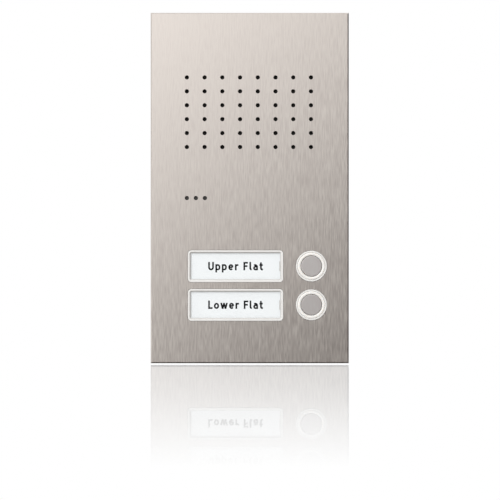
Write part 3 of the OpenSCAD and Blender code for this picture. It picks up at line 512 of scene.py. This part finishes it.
def coil_spring(index, material):
    """The button's return spring as a round wire: a fixed coil that rides with the front."""
    low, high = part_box(f"button_spring_{index}")
    wire = 0.3 * MM
    turns = 5
    lead = 0.75  # part of a turn that lies flat at each end
    steps = 28
    centre = (low + high) / 2
    radius = (high.x - low.x) / 2 - wire
    y0, y1 = low.y + wire, high.y - wire

    def climb(t):
        return min(1.0, max(0.0, (t - lead) / (turns - 2 * lead)))

    curve = bpy.data.curves.new(f"return_spring_{index}", "CURVE")
    curve.dimensions = "3D"
    curve.bevel_depth = wire
    curve.bevel_resolution = 4
    curve.use_fill_caps = True
    count = turns * steps + 1
    spline = curve.splines.new("POLY")
    spline.points.add(count - 1)
    for i, point in enumerate(spline.points):
        t = i / steps
        angle = 2 * math.pi * t
        point.co = (
            centre.x + radius * math.cos(angle),
            y0 + (y1 - y0) * climb(t),
            centre.z + radius * math.sin(angle),
            1.0,
        )
    holder = bpy.data.objects.new(f"return_spring_{index}_curve", curve)
    bpy.context.scene.collection.objects.link(holder)
    bpy.context.view_layer.update()
    graph = bpy.context.evaluated_depsgraph_get()
    mesh = bpy.data.meshes.new_from_object(holder.evaluated_get(graph))
    bpy.data.objects.remove(holder)
    piece = bpy.data.objects.new(f"return_spring_{index}", mesh)
    bpy.context.scene.collection.objects.link(piece)
    mesh.materials.append(material)
    mesh.shade_smooth()
    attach(piece, "front")
    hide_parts(f"button_spring_{index}")
    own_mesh(piece)
    return piece


# ---------------------------------------------------------------- stage, light, camera

PHOTO_SPAN = 0.328  # width of the view at the plate's front, in metres
CAMERA_DROP = 0.0407  # how far the view's centre is below the plate's centre
CAMERA_SIDE = 0.0002  # how far it is to the right of the plate's centre
LENS = 100.0
SENSOR = 36.0
DARKER_MIRROR = 0.8  # what the floor gives back; a brighter surround makes up for it
FLOOR_GAP = 0.0007  # between the floor and the plate


def make_camera():
    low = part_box("front_plate")[0]
    distance = LENS * PHOTO_SPAN / SENSOR
    data = bpy.data.cameras.new("camera")
    data.lens = LENS
    data.sensor_width = SENSOR
    data.clip_start = 0.01
    data.clip_end = 50
    camera = bpy.data.objects.new("camera", data)
    bpy.context.scene.collection.objects.link(camera)
    camera.location = (CAMERA_SIDE, low.y - distance, -CAMERA_DROP)
    camera.rotation_euler = (math.radians(90), 0, 0)
    bpy.context.scene.camera = camera


def make_floor():
    """A clear floor just under the plate, with a mirror sheen that fades away from it.

    Only the camera sees it, and only from above.
    """
    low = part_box("front_plate")[0]
    level = low.z - FLOOR_GAP
    reach = 0.43
    strength = 0.5
    half = 6.0
    mesh = bpy.data.meshes.new("floor")
    mesh.from_pydata(
        [(-half, -half, level), (half, -half, level), (half, half, level), (-half, half, level)],
        [], [(0, 1, 2, 3)],
    )
    floor = bpy.data.objects.new("floor", mesh)
    bpy.context.scene.collection.objects.link(floor)
    floor.visible_diffuse = floor.visible_glossy = floor.visible_shadow = False
    material = bpy.data.materials.new("floor_sheen")
    material.use_nodes = True
    tree = Tree(material.node_tree)
    tree.nodes.clear()
    x, y, _ = tree.axes(tree.nodes.new("ShaderNodeTexCoord").outputs["Object"])
    in_front = tree.math("SUBTRACT", low.y, y, clamp=True)
    ahead = tree.math("DIVIDE", in_front, reach, clamp=True)
    behind = tree.math("DIVIDE", y, reach / 2, clamp=True)
    aside = tree.math("DIVIDE", tree.math("ABSOLUTE", x, 0, clamp=True), reach, clamp=True)
    underneath = tree.nodes.new("ShaderNodeNewGeometry").outputs["Backfacing"]
    fade = tree.math("SUBTRACT", 1.0, underneath, clamp=True)
    for part in (ahead, behind, aside):
        lost = tree.math("POWER", part, 2.0, clamp=True)
        fade = tree.math("MULTIPLY", fade, tree.math("SUBTRACT", 1.0, lost, clamp=True), clamp=True)
    clear = tree.nodes.new("ShaderNodeBsdfTransparent")
    mirror = tree.nodes.new("ShaderNodeBsdfGlossy")
    mirror.inputs["Color"].default_value = (DARKER_MIRROR, DARKER_MIRROR, DARKER_MIRROR, 1)
    mirror.inputs["Roughness"].default_value = 0.0
    mix = tree.nodes.new("ShaderNodeMixShader")
    tree.feed(mix.inputs["Fac"], tree.math("MULTIPLY", fade, strength, clamp=True))
    tree.feed(mix.inputs[1], clear.outputs[0])
    tree.feed(mix.inputs[2], mirror.outputs[0])
    tree.feed(tree.nodes.new("ShaderNodeOutputMaterial").inputs["Surface"], mix.outputs[0])
    mesh.materials.append(material)


def area_light(name, location, target, size, power):
    """A square soft light that the steel does not mirror."""
    data = bpy.data.lights.new(name, "AREA")
    data.size = size
    data.energy = power
    light = bpy.data.objects.new(name, data)
    bpy.context.scene.collection.objects.link(light)
    light.location = location
    aim = Vector(target) - Vector(location)
    light.rotation_euler = aim.to_track_quat("-Z", "Y").to_euler()
    light.visible_glossy = False


def make_world():
    """White for the camera and the mirror floor; for the object, a studio with a bright upper left.

    Each step below lays one more part of the studio over what is there already. The directions
    are x to the right, y away from the camera and z up.
    """
    world = bpy.data.worlds.new("studio")
    bpy.context.scene.world = world
    world.use_nodes = True
    tree = Tree(world.node_tree)
    tree.nodes.clear()
    x, y, z = tree.axes(tree.nodes.new("ShaderNodeTexCoord").outputs["Generated"])

    def zone(value, start, end):
        """0 before the start and 1 past the end."""
        return tree.ranged(value, start, end, 0, 1, smooth=False)

    slant = tree.math("SUBTRACT", z, tree.math("MULTIPLY", x, 0.85))
    dark_corner, bright_wall = (0.035, 0.028, 0.023), (1.75, 1.75, 1.75)
    ceiling, left_wall = (1.1, 1.1, 1.1), (0.98, 0.98, 0.98)
    right_and_low, rear_wall = (0.5, 0.48, 0.46), (0.9, 0.9, 0.9)
    lit = tree.mixed(zone(slant, -0.15, 0.24), dark_corner, bright_wall)
    lit = tree.mixed(zone(z, 0.4, 0.9), lit, ceiling)
    lit = tree.mixed(zone(x, -0.4, -0.9), lit, left_wall)
    ahead = zone(y, -0.1, -0.4)
    for side in (x, tree.math("MULTIPLY", z, -1)):
        far_out = tree.math("MULTIPLY", zone(side, 0.32, 0.6), ahead)
        lit = tree.mixed(far_out, lit, right_and_low)
    lit = tree.mixed(zone(y, 0.6, 0.95), lit, rear_wall)
    path = tree.nodes.new("ShaderNodeLightPath")
    in_mirror = 1 / DARKER_MIRROR
    seen = tree.mixed(path.outputs["Is Singular Ray"], lit, (in_mirror, in_mirror, in_mirror))
    seen = tree.mixed(path.outputs["Is Camera Ray"], seen, (1, 1, 1))
    background = tree.nodes.new("ShaderNodeBackground")
    tree.feed(background.inputs["Color"], seen)
    tree.feed(tree.nodes.new("ShaderNodeOutputWorld").inputs["Surface"], background.outputs[0])


def make_lights():
    """A key light for the front's plastic and a fill for the housing behind it.

    The steel takes its sheen from the world alone.
    """
    area_light("key", (-0.42, -1.0, 0.45), (0, -0.05, 0), size=0.25, power=7)
    area_light("fill", (0.75, 1.1, 0.4), (0, 0, 0), size=0.6, power=9)


def make_view():
    scene = bpy.context.scene
    scene.view_settings.view_transform = "Standard"
    scene.view_settings.look = "None"
    scene.view_settings.exposure = 0.0
    scene.view_settings.gamma = 1.0


# ---------------------------------------------------------------- put together

make_camera()
make_view()
make_floor()
make_world()
make_lights()

materials = make_materials()
dress_nodes(materials)

ink = moulded("printing_ink", (0.004, 0.004, 0.005), 0.7, 0.3, 0.002, IOR=1.15)
for row, words in ((1, "Upper Flat"), (2, "Lower Flat")):
    printed_words(row, words, ink)
    coil_spring(row, materials["spring_steel"])
